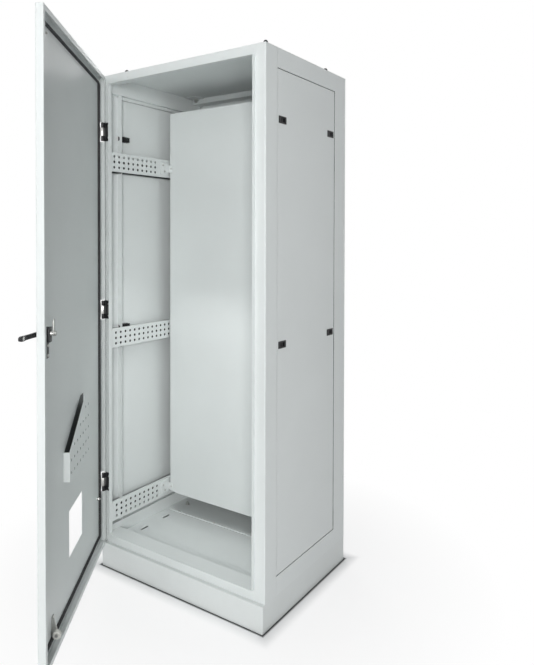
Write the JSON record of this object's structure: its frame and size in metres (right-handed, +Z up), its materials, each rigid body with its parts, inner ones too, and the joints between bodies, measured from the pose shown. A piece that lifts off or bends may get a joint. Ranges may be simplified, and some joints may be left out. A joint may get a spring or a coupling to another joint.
{
  "type": "street cabinet",
  "caption": "Free-standing steel control cabinet on a plinth, one hinged door with swing handle, mounting plate inside.",
  "frame": {"origin": "centre of the plinth footprint at floor level", "axes": "+Z up, -Y out of the door opening, -X to the hinge side"},
  "size_m": [0.8048, 1.2992, 2.0355],
  "materials": {
    "painted_frame": "satin",
    "painted_door": "satin",
    "painted_plinth": "satin",
    "painted_inner": "satin",
    "zinc_hardware": "satin",
    "black_castings": "satin",
    "black_plastic": "matte",
    "pale_plastic": "matte",
    "black_rubber": "matte"
  },
  "bodies": {
    "cabinet": {"plinth": "painted_plinth", "plinth_bolts": "zinc_hardware", "front_post_left": "painted_frame", "front_post_right": "painted_frame", "rear_posts": "painted_frame", "front_top_rail": "painted_frame", "front_bottom_rail": "painted_frame", "rear_rails": "painted_frame", "side_top_rails": "painted_frame", "side_bottom_rails": "painted_frame", "seal_channel": "painted_frame", "roof_panel": "painted_frame", "roof_corner_plates": "painted_frame", "roof_studs": "zinc_hardware", "roof_washers": "zinc_hardware", "roof_caps": "black_plastic", "roof_nuts": "zinc_hardware", "rear_panel": "painted_frame", "panel_screws": "zinc_hardware", "floor_panel": "painted_inner", "gland_plate": "painted_inner", "side_panel_left": "painted_frame", "side_panel_right": "painted_frame", "side_gaskets": "black_rubber", "latch_housings": "black_plastic", "depth_rails_left": "painted_inner", "depth_rails_right": "painted_inner", "mounting_plate": "painted_inner", "plate_clips": "painted_inner", "plate_bolts": "zinc_hardware", "floor_stud": "zinc_hardware", "hinge_brackets": "black_castings", "hinge_pins": "zinc_hardware", "hinge_bracket_screws": "zinc_hardware"},
    "door": {"door_panel": "painted_door", "door_gasket": "black_rubber", "hinge_leaves": "zinc_hardware", "pocket_front": "painted_door", "pocket_edge": "painted_door", "earth_studs": "zinc_hardware", "lock_dish": "black_castings", "lock_body": "black_castings", "door_screws": "zinc_hardware", "guide_bracket": "zinc_hardware", "guide_pin": "zinc_hardware"},
    "handle_turn": {"lock_spindle": "zinc_hardware", "lock_cam": "zinc_hardware", "cam_nut": "zinc_hardware", "lever_pin": "zinc_hardware"},
    "lever": {"lock_lever": "black_castings"},
    "key": {"key_plug": "zinc_hardware"},
    "roller": {"guide_roller": "pale_plastic"},
    "latch_slider_right_front_low": {"latch_slider_right_front_low": "black_plastic"},
    "latch_slider_right_front_high": {"latch_slider_right_front_high": "black_plastic"},
    "latch_slider_right_rear_low": {"latch_slider_right_rear_low": "black_plastic"},
    "latch_slider_right_rear_high": {"latch_slider_right_rear_high": "black_plastic"},
    "latch_slider_left_front_low": {"latch_slider_left_front_low": "black_plastic"},
    "latch_slider_left_front_high": {"latch_slider_left_front_high": "black_plastic"},
    "latch_slider_left_rear_low": {"latch_slider_left_rear_low": "black_plastic"},
    "latch_slider_left_rear_high": {"latch_slider_left_rear_high": "black_plastic"}
  },
  "joints": [
    {"name": "door_hinge", "type": "hinge", "parent": "cabinet", "child": "door", "pos_m": [-0.392, -0.299, 1.049], "axis": [0, 0, 1], "range_deg": [-65, 53.1]},
    {"name": "handle_swing", "type": "hinge", "parent": "door", "child": "handle_turn", "pos_m": [0.03531, -0.88978, 1.066], "axis": [0.7997, 0.6004, 0], "range_deg": [0, 90]},
    {"name": "lever_lift", "type": "hinge", "parent": "handle_turn", "child": "lever", "pos_m": [0.02771, -0.89548, 1.066], "axis": [0, 0, -1], "range_deg": [-11, 19]},
    {"name": "key_turn", "type": "hinge", "parent": "lever", "child": "key", "pos_m": [0.06834, -0.97914, 1.066], "axis": [0.8996, 0.4368, 0], "range_deg": [0, 90]},
    {"name": "guide_roller_spin", "type": "hinge", "parent": "door", "child": "roller", "pos_m": [0.01768, -0.83298, 0.15], "axis": [0.6004, -0.7997, 0], "continuous": true},
    {"name": "latch_slider_right_front_low_slide", "type": "slide", "parent": "cabinet", "child": "latch_slider_right_front_low", "axis": [0, 1, 0], "range_m": [0, 0.008], "stiffness_N_per_m": 200, "springref_m": -0.004},
    {"name": "latch_slider_right_front_high_slide", "type": "slide", "parent": "cabinet", "child": "latch_slider_right_front_high", "axis": [0, 1, 0], "range_m": [0, 0.008], "stiffness_N_per_m": 200, "springref_m": -0.004},
    {"name": "latch_slider_right_rear_low_slide", "type": "slide", "parent": "cabinet", "child": "latch_slider_right_rear_low", "axis": [0, -1, 0], "range_m": [0, 0.008], "stiffness_N_per_m": 200, "springref_m": -0.004},
    {"name": "latch_slider_right_rear_high_slide", "type": "slide", "parent": "cabinet", "child": "latch_slider_right_rear_high", "axis": [0, -1, 0], "range_m": [0, 0.008], "stiffness_N_per_m": 200, "springref_m": -0.004},
    {"name": "latch_slider_left_front_low_slide", "type": "slide", "parent": "cabinet", "child": "latch_slider_left_front_low", "axis": [0, 1, 0], "range_m": [0, 0.008], "stiffness_N_per_m": 200, "springref_m": -0.004},
    {"name": "latch_slider_left_front_high_slide", "type": "slide", "parent": "cabinet", "child": "latch_slider_left_front_high", "axis": [0, 1, 0], "range_m": [0, 0.008], "stiffness_N_per_m": 200, "springref_m": -0.004},
    {"name": "latch_slider_left_rear_low_slide", "type": "slide", "parent": "cabinet", "child": "latch_slider_left_rear_low", "axis": [0, -1, 0], "range_m": [0, 0.008], "stiffness_N_per_m": 200, "springref_m": -0.004},
    {"name": "latch_slider_left_rear_high_slide", "type": "slide", "parent": "cabinet", "child": "latch_slider_left_rear_high", "axis": [0, -1, 0], "range_m": [0, 0.008], "stiffness_N_per_m": 200, "springref_m": -0.004}
  ]
}
